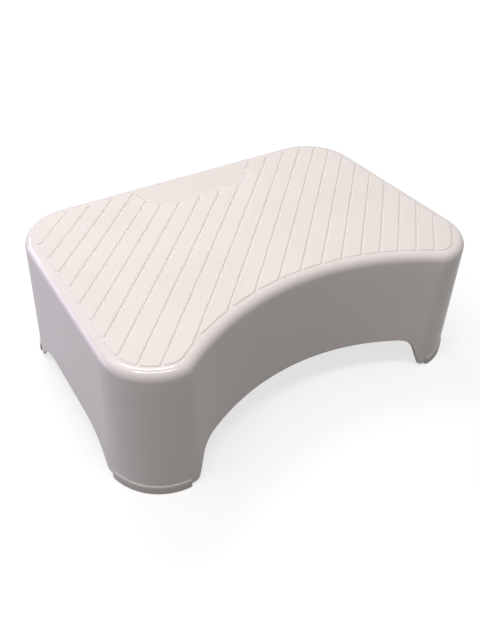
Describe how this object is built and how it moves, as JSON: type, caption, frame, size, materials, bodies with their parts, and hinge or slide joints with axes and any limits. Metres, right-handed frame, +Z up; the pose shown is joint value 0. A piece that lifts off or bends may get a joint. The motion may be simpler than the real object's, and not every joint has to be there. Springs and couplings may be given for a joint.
{
  "type": "footrest",
  "caption": "Low moulded footrest with a concave front, a raised diagonal-strip tread, arched flared sides and soft push-on corner feet.",
  "frame": {"origin": "on the floor, under the middle of the stool's bounding box", "axes": "+Z up, +X along the long side to the right of someone facing the concave front, -Y out of the concave front, where the user stands or sits"},
  "size_m": [0.4274, 0.298, 0.15],
  "materials": {
    "shell": "glossy moulded plastic with a fine matte grain on top",
    "feet": "soft satin elastomer"
  },
  "bodies": {
    "root": {"shell": "shell", "foot_front_left": "feet", "foot_front_right": "feet", "foot_back_left": "feet", "foot_back_right": "feet"}
  },
  "joints": []
}
